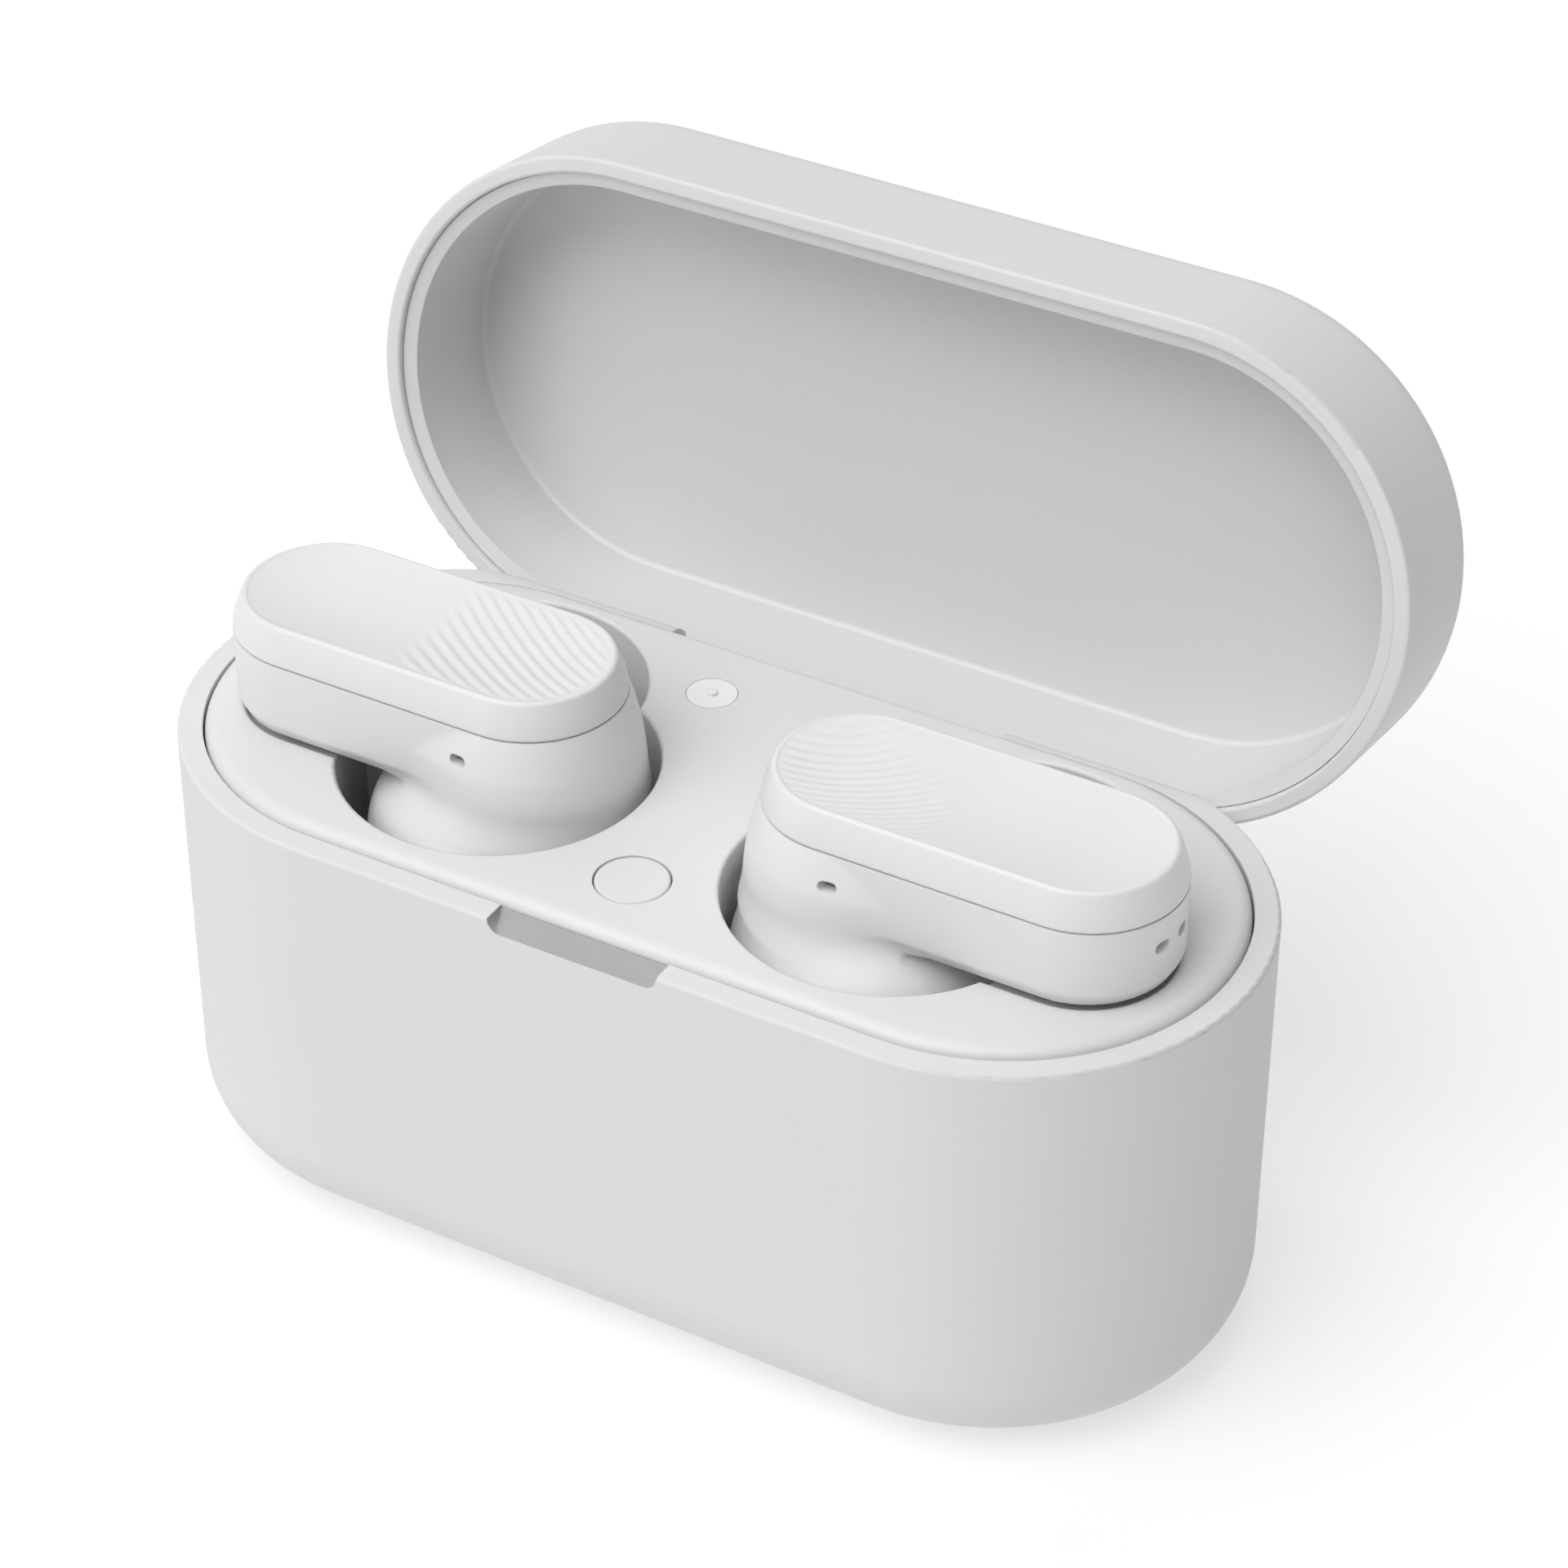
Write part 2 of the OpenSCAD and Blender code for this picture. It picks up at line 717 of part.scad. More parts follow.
module ear_tip() {
  translate([lobe_at[0], lobe_at[1], 0]) rotate_extrude() difference() {
    eased(tip_r, tip_z, lobe_z - 0.25, 3.4, 0.3);
    translate([0, tip_z - 1]) square([nozzle_r - 0.5, 9]);
    translate([0, nozzle_z - 0.02]) square([nozzle_r + 0.02, 9]);
    translate([nozzle_r + 0.8, tip_z + 1.6]) square([tip_r - nozzle_r - 1.5, 9]);
  }
}

module left_touch_cover() {
  color(PALE) touch_cover();
}

module left_housing() {
  color(WHITE) housing();
}

module left_circuit() {
  color(GREEN) circuit();
}

module left_cell() {
  color(STEEL) cell();
}

module left_driver() {
  color(DARK) driver();
}

module left_contacts() {
  color(GOLD) contacts();
}

module left_bud_magnet() {
  color(STEEL) bud_magnet();
}

module left_mic_mesh() {
  color(DARK) mic_mesh();
}

module left_speaker_mesh() {
  color(DARK) speaker_mesh();
}

module left_ear_tip() {
  color(PALE) ear_tip();
}

module right_touch_cover() {
  color(PALE) mirror([1, 0, 0]) touch_cover();
}

module right_housing() {
  color(WHITE) mirror([1, 0, 0]) housing();
}

module right_circuit() {
  color(GREEN) mirror([1, 0, 0]) circuit();
}

module right_cell() {
  color(STEEL) mirror([1, 0, 0]) cell();
}

module right_driver() {
  color(DARK) mirror([1, 0, 0]) driver();
}

module right_contacts() {
  color(GOLD) mirror([1, 0, 0]) contacts();
}

module right_bud_magnet() {
  color(STEEL) mirror([1, 0, 0]) bud_magnet();
}

module right_mic_mesh() {
  color(DARK) mirror([1, 0, 0]) mic_mesh();
}

module right_speaker_mesh() {
  color(DARK) mirror([1, 0, 0]) speaker_mesh();
}

module right_ear_tip() {
  color(PALE) mirror([1, 0, 0]) ear_tip();
}

base_shell();
charging_deck();
left_side_mark();
right_side_mark();
case_battery();
battery_pad();
battery_leads();
main_board();
board_screws();
usb_shell();
usb_tongue();
button_board();
button_screws();
switch_body();
link_flex();
left_pin_board();
right_pin_board();
left_pin_barrels();
right_pin_barrels();
left_case_magnet();
right_case_magnet();
base_latch_magnet();
hinge_pin();
pairing_button();
switch_plunger();
left_pin_inner();
left_pin_outer();
right_pin_inner();
right_pin_outer();
lid_shell();
lid_liner();
hinge_tongue();
lid_latch_magnet();
left_touch_cover();
left_housing();
left_circuit();
left_cell();
left_driver();
left_contacts();
left_bud_magnet();
left_mic_mesh();
left_speaker_mesh();
left_ear_tip();
right_touch_cover();
right_housing();
right_circuit();
right_cell();
right_driver();
right_contacts();
right_bud_magnet();
right_mic_mesh();
right_speaker_mesh();
right_ear_tip();
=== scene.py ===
import json
import math

import bmesh
import bpy
import numpy as np
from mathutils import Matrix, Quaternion, Vector

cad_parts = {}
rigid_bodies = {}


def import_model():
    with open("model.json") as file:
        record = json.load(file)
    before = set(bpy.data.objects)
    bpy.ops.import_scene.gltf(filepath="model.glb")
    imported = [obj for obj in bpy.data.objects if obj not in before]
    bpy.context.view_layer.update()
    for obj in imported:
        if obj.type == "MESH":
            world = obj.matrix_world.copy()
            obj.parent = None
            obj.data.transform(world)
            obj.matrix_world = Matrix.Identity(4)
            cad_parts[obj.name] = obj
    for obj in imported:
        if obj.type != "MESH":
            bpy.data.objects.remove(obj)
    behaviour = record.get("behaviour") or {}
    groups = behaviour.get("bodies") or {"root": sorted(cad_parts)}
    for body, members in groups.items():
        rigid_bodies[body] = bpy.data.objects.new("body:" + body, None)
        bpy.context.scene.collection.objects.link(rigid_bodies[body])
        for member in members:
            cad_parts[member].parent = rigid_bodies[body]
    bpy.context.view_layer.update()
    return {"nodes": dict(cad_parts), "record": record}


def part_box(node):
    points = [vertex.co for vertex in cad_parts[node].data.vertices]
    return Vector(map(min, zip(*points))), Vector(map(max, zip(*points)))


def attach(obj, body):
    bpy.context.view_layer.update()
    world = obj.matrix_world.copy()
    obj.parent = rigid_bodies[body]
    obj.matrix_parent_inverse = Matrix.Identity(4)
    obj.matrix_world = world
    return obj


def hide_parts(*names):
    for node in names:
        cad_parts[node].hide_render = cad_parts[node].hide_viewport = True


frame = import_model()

nodes = frame["nodes"]
MM = 0.001


# ---- Camera ----
# A long lens on a tripod in front of the case's right end, looking down on the open lid.
camera_data = bpy.data.cameras.new("camera")
camera_data.sensor_width = 36.0
camera_data.lens = 104.73
camera_data.clip_start = 0.01
camera_data.clip_end = 5.0
camera = bpy.data.objects.new("camera", camera_data)
camera.location = Vector((98.153, -165.582, 165.268)) * MM
sight_line = Vector((-0.40091, 0.70645, -0.58327))
camera_roll = Quaternion((0, 0, 1), math.radians(0.145))
camera.rotation_mode = "QUATERNION"
camera.rotation_quaternion = sight_line.to_track_quat("-Z", "Y") @ camera_roll
bpy.context.scene.collection.objects.link(camera)
bpy.context.scene.camera = camera


# ---- Floor and light ----
# A translucent white table top lit from below, in a bright tent. One broad source stands high in
# front, a little to the left, a weaker one stands behind, and a small lamp close by brightens the
# left half of the front.
def place_mesh(name, verts, faces, smooth=True):
    mesh = bpy.data.meshes.new(name)
    mesh.from_pydata(verts, [], faces)
    mesh.update()
    mesh.polygons.foreach_set("use_smooth", [smooth] * len(mesh.polygons))
    piece = bpy.data.objects.new(name, mesh)
    bpy.context.scene.collection.objects.link(piece)
    return piece


floor_half = 1.2
floor_corners = [(-1, -1), (1, -1), (1, 1), (-1, 1)]
floor = place_mesh("floor", [(floor_half * x, floor_half * y, 0) for x, y in floor_corners],
                   [(0, 1, 2, 3)], smooth=False)
table_paint = bpy.data.materials.new("table_paint")
table_paint.use_nodes = True
table_shader = table_paint.node_tree.nodes["Principled BSDF"]
table_shader.inputs["Base Color"].default_value = (0.44, 0.44, 0.44, 1)
table_shader.inputs["Roughness"].default_value = 0.9
table_shader.inputs["Specular IOR Level"].default_value = 0.1
table_shader.inputs["Emission Color"].default_value = (1, 1, 1, 1)
table_shader.inputs["Emission Strength"].default_value = 0.53
floor.data.materials.append(table_paint)

tent = bpy.data.worlds.new("tent")
tent.use_nodes = True
tent.node_tree.nodes["Background"].inputs["Color"].default_value = (1, 0.996, 0.998, 1)
tent.node_tree.nodes["Background"].inputs["Strength"].default_value = 0.28
bpy.context.scene.world = tent
bpy.context.scene.view_settings.view_transform = "Standard"


def hang_lamp(name, kind, place, aim, power, **settings):
    data = bpy.data.lights.new(name, kind)
    data.energy = power
    for setting, value in settings.items():
        setattr(data, setting, value)
    lamp = bpy.data.objects.new(name, data)
    lamp.location = place
    lamp.rotation_mode = "QUATERNION"
    lamp.rotation_quaternion = (Vector(aim) - Vector(place)).to_track_quat("-Z", "Y")
    bpy.context.scene.collection.objects.link(lamp)


hang_lamp("tent_key", "SUN", (-0.17, -0.46, 0.87), (0, 0, 0), 2.5, angle=math.radians(56))
hang_lamp("tent_back", "SUN", (-0.35, 0.5, 0.8), (0, 0, 0), 0.6, angle=math.radians(50))
hang_lamp("near_lamp", "AREA", (-0.2, -0.24, 0.09), (-0.02, 0, 0.02), 0.05, shape="DISK", size=0.12)


# ---- Lower shell ----
# One injection moulding in white ABS, spark-eroded outside to a fine matt grain. It carries the
# screw posts, hinge ears and shelves, and everything else is screwed or pressed into it.
def open_group(name, inputs, outputs):
    group = bpy.data.node_groups.new(name, "ShaderNodeTree")
    for label, kind, value in inputs:
        socket = group.interface.new_socket(label, in_out="INPUT", socket_type=kind)
        if value is not None:
            socket.default_value = value
    for label, kind in outputs:
        group.interface.new_socket(label, in_out="OUTPUT", socket_type=kind)
    return group, group.nodes.new("NodeGroupInput"), group.nodes.new("NodeGroupOutput")


def wire(tree, source, target):
    if hasattr(source, "links"):
        tree.links.new(source, target)
    else:
        target.default_value = source


def calc(tree, operation, first, second=None, clamp=False):
    node = tree.nodes.new("ShaderNodeMath")
    node.operation = operation
    node.use_clamp = clamp
    wire(tree, first, node.inputs[0])
    if second is not None:
        wire(tree, second, node.inputs[1])
    return node.outputs[0]


def noise(tree, place, scale, detail=2.0, roughness=0.5):
    node = tree.nodes.new("ShaderNodeTexNoise")
    node.inputs["Detail"].default_value = detail
    node.inputs["Roughness"].default_value = roughness
    wire(tree, place, node.inputs["Vector"])
    wire(tree, scale, node.inputs["Scale"])
    return node.outputs["Fac"]


def make_moulded_grain():
    group, given, out = open_group(
        "moulded_grain",
        [("Place", "NodeSocketVector", None), ("Grains per Metre", "NodeSocketFloat", 6000.0),
         ("Clouds per Metre", "NodeSocketFloat", 110.0)],
        [("Height", "NodeSocketFloat"), ("Cloud", "NodeSocketFloat")])
    pits = noise(group, given.outputs["Place"], given.outputs["Grains per Metre"], 3.0, 0.6)
    sink = noise(group, given.outputs["Place"], given.outputs["Clouds per Metre"], 3.0)
    soft = calc(group, "MULTIPLY", sink, 0.35)
    wire(group, calc(group, "ADD", pits, soft), out.inputs["Height"])
    wire(group, sink, out.inputs["Cloud"])
    return group


def make_rubbed_edges():
    group, given, out = open_group(
        "rubbed_edges",
        [("Place", "NodeSocketVector", None), ("Radius", "NodeSocketFloat", 0.00012)],
        [("Normal", "NodeSocketVector"), ("Rubbed", "NodeSocketFloat")])
    rounded = group.nodes.new("ShaderNodeBevel")
    rounded.samples = 4
    wire(group, given.outputs["Radius"], rounded.inputs["Radius"])
    face = group.nodes.new("ShaderNodeNewGeometry")
    turn = group.nodes.new("ShaderNodeVectorMath")
    turn.operation = "DOT_PRODUCT"
    wire(group, rounded.outputs["Normal"], turn.inputs[0])
    wire(group, face.outputs["Normal"], turn.inputs[1])
    sharp = calc(group, "MULTIPLY", calc(group, "SUBTRACT", 1.0, turn.outputs["Value"]), 5.0, clamp=True)
    patchy = noise(group, given.outputs["Place"], 700.0, 3.0)
    wire(group, calc(group, "MULTIPLY", sharp, patchy), out.inputs["Rubbed"])
    wire(group, rounded.outputs["Normal"], out.inputs["Normal"])
    return group


def make_settled_dust():
    group, given, out = open_group(
        "settled_dust",
        [("Place", "NodeSocketVector", None), ("Cover", "NodeSocketFloat", 0.2)],
        [("Dust", "NodeSocketFloat")])
    face = group.nodes.new("ShaderNodeNewGeometry")
    split = group.nodes.new("ShaderNodeSeparateXYZ")
    wire(group, face.outputs["Normal"], split.inputs[0])
    upward = calc(group, "MAXIMUM", split.outputs["Z"], 0.15)
    specks = noise(group, given.outputs["Place"], 2600.0, 4.0, 0.7)
    drift = noise(group, given.outputs["Place"], 240.0, 2.0)
    thick = calc(group, "SUBTRACT", calc(group, "MULTIPLY", specks, drift), 0.24)
    patch = calc(group, "MULTIPLY", thick, 4.0, clamp=True)
    share = calc(group, "MULTIPLY", calc(group, "MULTIPLY", patch, upward), given.outputs["Cover"])
    wire(group, share, out.inputs["Dust"])
    return group


effect_groups = {"grain": make_moulded_grain(), "edges": make_rubbed_edges(), "dust": make_settled_dust()}


def place_group(tree, kind, place, **values):
    node = tree.nodes.new("ShaderNodeGroup")
    node.node_tree = effect_groups[kind]
    wire(tree, place, node.inputs["Place"])
    for label, value in values.items():
        wire(tree, value, node.inputs[label.replace("_", " ")])
    return node.outputs


def mix_colour(tree, share, first, second):
    node = tree.nodes.new("ShaderNodeMix")
    node.data_type = "RGBA"
    wire(tree, share, node.inputs["Factor"])
    for value, socket in ((first, node.inputs[6]), (second, node.inputs[7])):
        wire(tree, value if hasattr(value, "links") else (*value, 1), socket)
    return node.outputs[2]


def new_finish(name, **constants):
    material = bpy.data.materials.new(name)
    material.use_nodes = True
    tree = material.node_tree
    shader = tree.nodes["Principled BSDF"]
    for label, value in constants.items():
        shader.inputs[label.replace("_", " ")].default_value = value
    place = tree.nodes.new("ShaderNodeTexCoord").outputs["Object"]
    return material, tree, shader, place


def moulded(name, light, deep, smooth, rough, grains=6000.0, relief=0.000004, edge=0.00012,
            rubbed=(0.84, 0.83, 0.83), dust=0.2, height=None, colour=None, **constants):
    """A finish for a moulded, plated or pressed piece: cloudy colour, uneven gloss, grain, soft edges.

    A `colour` function takes the place of the two tints, which are None then.
    """
    material, tree, shader, place = new_finish(name, **constants)
    grain = place_group(tree, "grain", place, Grains_per_Metre=grains)
    edges = place_group(tree, "edges", place, Radius=edge)
    settled = place_group(tree, "dust", place, Cover=dust)
    base = mix_colour(tree, grain["Cloud"], light, deep) if colour is None else colour(tree, place)
    base = mix_colour(tree, calc(tree, "MULTIPLY", edges["Rubbed"], 0.5), base, rubbed)
    base = mix_colour(tree, settled["Dust"], base, (0.62, 0.61, 0.59))
    wire(tree, base, shader.inputs["Base Color"])
    gloss = calc(tree, "ADD", smooth, calc(tree, "MULTIPLY", grain["Cloud"], rough - smooth))
    wire(tree, calc(tree, "ADD", gloss, calc(tree, "MULTIPLY", settled["Dust"], 0.3), clamp=True),
         shader.inputs["Roughness"])
    bump = tree.nodes.new("ShaderNodeBump")
    bump.inputs["Distance"].default_value = relief
    wire(tree, grain["Height"] if height is None else height(tree, place), bump.inputs["Height"])
    wire(tree, edges["Normal"], bump.inputs["Normal"])
    wire(tree, bump.outputs["Normal"], shader.inputs["Normal"])
    return material


slot_nodes = {}
for subpart in frame["record"]["subparts"]:
    slot_nodes.setdefault(subpart["material_slot"], []).append(subpart["node"])


def dress(slot, material):
    for name in slot_nodes[slot]:
        mesh = nodes[name].data
        mesh.materials.clear()
        mesh.materials.append(material)


shell_low, shell_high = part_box("base_shell")
notch_half = 5.0 * MM
notch_floor = 1.4 * MM


def shell_white_with_notch_shade(tree, place):
    """White, with painted shade in the finger notch: the recess, just inside the skin of the front rim,
    is coloured grey to stand in for the shade that falls in it.
    """
    split = tree.nodes.new("ShaderNodeSeparateXYZ")
    wire(tree, place, split.inputs[0])
    x, y, z = split.outputs
    beside = calc(tree, "LESS_THAN", calc(tree, "ABSOLUTE", x), notch_half)
    behind = calc(tree, "GREATER_THAN", y, shell_low.y + 0.03 * MM)
    before = calc(tree, "LESS_THAN", y, shell_low.y + 1.6 * MM)
    above = calc(tree, "GREATER_THAN", z, shell_high.z - notch_floor)
    below = calc(tree, "LESS_THAN", z, shell_high.z - 0.03 * MM)
    # Painted shade: this mask picks out the finger notch recess, which is then coloured grey in place of
    # its shade.
    notch_shade = calc(tree, "MULTIPLY", calc(tree, "MULTIPLY", beside, behind),
                 calc(tree, "MULTIPLY", before, calc(tree, "MULTIPLY", above, below)))
    cloud = noise(tree, place, 110.0, 3.0)
    white = mix_colour(tree, cloud, (0.685, 0.675, 0.678), (0.665, 0.655, 0.659))
    return mix_colour(tree, notch_shade, white, (0.36, 0.353, 0.355))


# The shell's colour carries painted shade as grey in the finger notch.
shell_white = moulded("shell_white", None, None, 0.52, 0.64, grains=5200.0,
                      relief=0.000006, colour=shell_white_with_notch_shade, Specular_IOR_Level=0.35)
dress("shell_white", shell_white)


# ---- Charging deck, button cap and lid liner ----
# Satin mouldings in the same white. The deck drops inside the shell's rim on the end shelves,
# with a hairline gap round it, and the button cap sits in a clean hole near its front.
deck_white = moulded("deck_white", (0.69, 0.679, 0.682), (0.675, 0.664, 0.668), 0.36, 0.48,
                     grains=8000.0, relief=0.000003, dust=0.12)
dress("deck_white", deck_white)


# ---- Side marks ----
# Two small printed discs of a paler, glossier plastic, pressed into the deck. A raised dot on the
# left one tells the sides apart by touch.
mark_pale = moulded("mark_pale", (0.83, 0.825, 0.82), (0.80, 0.795, 0.79), 0.16, 0.24,
                    grains=9000.0, relief=0.000002, dust=0.1, Coat_Weight=0.3)
dress("mark_pale", mark_pale)


# ---- Battery, its pad and its leads ----
# A lithium pouch in aluminium foil stands on a strip of black foam. Two black silicone-covered
# leads run from its end up to the main board.
def foil_creases(tree, place):
    folds = noise(tree, place, 320.0, 5.0, 0.65)
    return calc(tree, "ABSOLUTE", calc(tree, "SUBTRACT", folds, 0.5))


battery_foil = moulded("battery_foil", (0.66, 0.67, 0.69), (0.55, 0.56, 0.58), 0.28, 0.42,
                       relief=0.00025, height=foil_creases, edge=0.0004, Metallic=0.9)
dress("battery_foil", battery_foil)


def foam_cells(tree, place):
    cells = tree.nodes.new("ShaderNodeTexVoronoi")
    cells.inputs["Scale"].default_value = 2400.0
    wire(tree, place, cells.inputs["Vector"])
    return cells.outputs["Distance"]


foam_black = moulded("foam_black", (0.035, 0.035, 0.037), (0.02, 0.02, 0.022), 0.85, 0.98,
                     relief=0.00012, height=foam_cells, rubbed=(0.08, 0.08, 0.08))
dress("foam_black", foam_black)
wire_black = moulded("wire_black", (0.03, 0.03, 0.032), (0.018, 0.018, 0.02), 0.38, 0.55,
                     relief=0.000006, rubbed=(0.07, 0.07, 0.07))
dress("wire_black", wire_black)


# ---- Circuit boards and the link strip ----
# Glass-epoxy boards under green solder mask, with copper tracks that show through as paler lines.
# The link strip is amber polyimide with tracks along it.
def track_mask(tree, place, pitch, width):
    """1 on tracks laid in straight runs that change course from block to block."""
    blocks = tree.nodes.new("ShaderNodeTexVoronoi")
    blocks.distance = "CHEBYCHEV"
    ring_step = 0.16
    blocks.inputs["Scale"].default_value = ring_step / pitch
    wire(tree, place, blocks.inputs["Vector"])
    rings = calc(tree, "FRACT", calc(tree, "MULTIPLY", blocks.outputs["Distance"], 1 / ring_step))
    return calc(tree, "LESS_THAN", rings, width)


track_pitch = 0.6 * MM
track_width = 0.4


def board_colour(tree, place):
    ink = mix_colour(tree, noise(tree, place, 500.0), (0.012, 0.13, 0.062), (0.008, 0.10, 0.05))
    return mix_colour(tree, track_mask(tree, place, track_pitch, track_width), ink, (0.03, 0.23, 0.11))


def board_height(tree, place):
    return track_mask(tree, place, track_pitch, track_width)


board_green = moulded("board_green", None, None, 0.3, 0.42, relief=0.00003,
                      colour=board_colour, height=board_height, rubbed=(0.55, 0.5, 0.33), Coat_Weight=0.2)
dress("board_green", board_green)


def strip_colour(tree, place):
    split = tree.nodes.new("ShaderNodeSeparateXYZ")
    wire(tree, place, split.inputs[0])
    lanes = calc(tree, "FRACT", calc(tree, "MULTIPLY", split.outputs["X"], 1 / (0.5 * MM)))
    track = calc(tree, "LESS_THAN", lanes, 0.55)
    film = mix_colour(tree, noise(tree, place, 600.0), (0.62, 0.27, 0.035), (0.52, 0.21, 0.025))
    return mix_colour(tree, track, film, (0.73, 0.42, 0.11))


flex_amber = moulded("flex_amber", None, None, 0.24, 0.36, colour=strip_colour,
                     rubbed=(0.75, 0.45, 0.15), Coat_Weight=0.3)
dress("flex_amber", flex_amber)


# ---- Steel pieces: screws, charging inlet, hinge pin, cells ----
# Nickel-plated steel, rolled or turned, so fine lines run along it and the edges are bright.
def brushed_lines(tree, place):
    stretch = tree.nodes.new("ShaderNodeMapping")
    stretch.inputs["Scale"].default_value = (1.0, 1.0, 14.0)
    wire(tree, place, stretch.inputs["Vector"])
    return noise(tree, stretch.outputs["Vector"], 1500.0, 4.0, 0.65)


bright_steel = moulded("bright_steel", (0.62, 0.615, 0.60), (0.54, 0.535, 0.52), 0.2, 0.34,
                       relief=0.000008, height=brushed_lines, rubbed=(0.75, 0.74, 0.72),
                       dust=0.15, Metallic=1.0)
dress("bright_steel", bright_steel)


# ---- Inlet tongue and switch ----
# Small black glass-filled nylon mouldings, dull where the glass comes to the surface.
plastic_black = moulded("plastic_black", (0.035, 0.035, 0.037), (0.022, 0.022, 0.024), 0.42, 0.6,
                        grains=7000.0, rubbed=(0.09, 0.09, 0.09))
dress("plastic_black", plastic_black)


# ---- Charging pins and contacts ----
# Turned brass, plated with hard gold. The spring pins ride in barrels under each pocket and meet
# the two flat contacts under each earbud.
gold_plate = moulded("gold_plate", (0.86, 0.62, 0.27), (0.80, 0.56, 0.23), 0.16, 0.3,
                     relief=0.000005, height=brushed_lines, rubbed=(0.92, 0.72, 0.38),
                     edge=0.00006, dust=0.1, Metallic=1.0)
dress("gold_plate", gold_plate)


# ---- Magnets ----
# Sintered magnets under bright nickel, glued in place. The plating is slightly dimpled.
magnet_nickel = moulded("magnet_nickel", (0.68, 0.67, 0.64), (0.6, 0.59, 0.57), 0.14, 0.26,
                        grains=2500.0, relief=0.00001, rubbed=(0.8, 0.79, 0.77), Metallic=1.0)
dress("magnet_nickel", magnet_nickel)


# ---- Earbud housings ----
# A hollow shell in satin white ABS: a flat stem, a body that grows out of the neck beneath one end,
# and a lobe with the sound nozzle. It is moulded in one smooth skin, open under the touch cover.
housing_white = moulded("housing_white", (0.745, 0.737, 0.74), (0.728, 0.72, 0.723), 0.38, 0.5,
                        grains=8000.0, relief=0.000003, dust=0.1)

cover_low, cover_high = (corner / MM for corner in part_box("left_touch_cover"))
tip_low, tip_high = (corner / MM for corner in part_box("left_ear_tip"))
contact_low, contact_high = (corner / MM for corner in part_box("left_contacts"))
housing_low, housing_high = (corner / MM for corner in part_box("left_housing"))
mic_low, mic_high = (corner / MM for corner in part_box("left_mic_mesh"))

stem_centre = (cover_low + cover_high) / 2
stem_radius = (cover_high.y - cover_low.y) / 2
stem_run = (cover_high.x - cover_low.x) / 2 - stem_radius
parting = housing_high.z
stem_under = parting - 4.65
neck_at = Vector((cover_high.x - stem_radius, stem_centre.y))
neck_flare = 1.0
body_at = neck_at + Vector((-1.3, -0.4))
body_radius = 7.65
body_under = contact_low.z
body_top = parting - 4.7
body_foot = 3.55
body_brow = 4.2
lobe_at = (tip_low + tip_high) / 2
lobe_radius = 6.0
lobe_under = tip_high.z + 0.25
lobe_top = parting - 5.4
lobe_foot = 3.0
lobe_brow = 2.4
nozzle_end = housing_low.z
nozzle_radius = 2.3
nozzle_bore = 1.6
housing_wall = 0.8


def blended(first, second, reach):
    """Union of two distance fields with a fillet where they meet."""
    near = np.maximum(reach - np.abs(first - second), 0) / reach
    return np.minimum(first, second) - near * near * reach / 4


def round_post(x, y, z, at, radius, low, high, foot, brow):
    rounding = np.where(z > (low + high) / 2, brow, foot)
    across = np.hypot(x - at.x, y - at.y) - radius + rounding
    upright = np.abs(z - (low + high) / 2) - (high - low) / 2 + rounding
    beyond = np.hypot(np.maximum(across, 0), np.maximum(upright, 0))
    return beyond + np.minimum(np.maximum(across, upright), 0) - rounding


def housing_outside(x, y, z):
    """Distance in mm to the left housing's outer skin, negative inside."""
    end_x = np.maximum(np.abs(x - stem_centre.x) - stem_run, 0)
    side = np.hypot(end_x, y - stem_centre.y) - stem_radius
    bevel_in = 0.4
    bevel_up = 0.75
    slope = bevel_up * side - bevel_in * (z - stem_under - bevel_up)
    stem = np.maximum(np.maximum(side, stem_under - z), slope / math.hypot(bevel_in, bevel_up))
    neck_rise = 6
    neck_drop = 9
    rise = np.clip((z - (parting - neck_rise)) / neck_rise, 0, 1)
    sunk = np.maximum(parting - neck_rise - z, 0)
    neck_radius = stem_radius + neck_flare * (1 - rise ** 1.4) ** 0.8 - 0.6 * sunk
    neck = np.hypot(x - neck_at.x, y - neck_at.y) - neck_radius
    neck = np.maximum(neck, parting - neck_drop - z)
    body = round_post(x, y, z, body_at, body_radius, body_under, body_top, body_foot, body_brow)
    lobe = round_post(x, y, z, lobe_at, lobe_radius, lobe_under, lobe_top, lobe_foot, lobe_brow)
    nozzle = np.hypot(x - lobe_at.x, y - lobe_at.y) - nozzle_radius
    nozzle = np.maximum(np.maximum(nozzle, nozzle_end - z), z - lobe_under - 2)
    shape = blended(stem, neck, np.clip((parting - z) * 0.5, 0.02, 1.2))
    shape = blended(shape, body, 1.3)
    shape = blended(shape, lobe, 1.5)
    return blended(shape, nozzle, 0.5)


def housing_skin(x, y, z):
    outside = housing_outside(x, y, z)
    bore = np.hypot(x - lobe_at.x, y - lobe_at.y) - nozzle_bore
    bore = np.maximum(bore, z - lobe_under - 2)
    return np.maximum(np.maximum(outside, -outside - housing_wall), -bore)


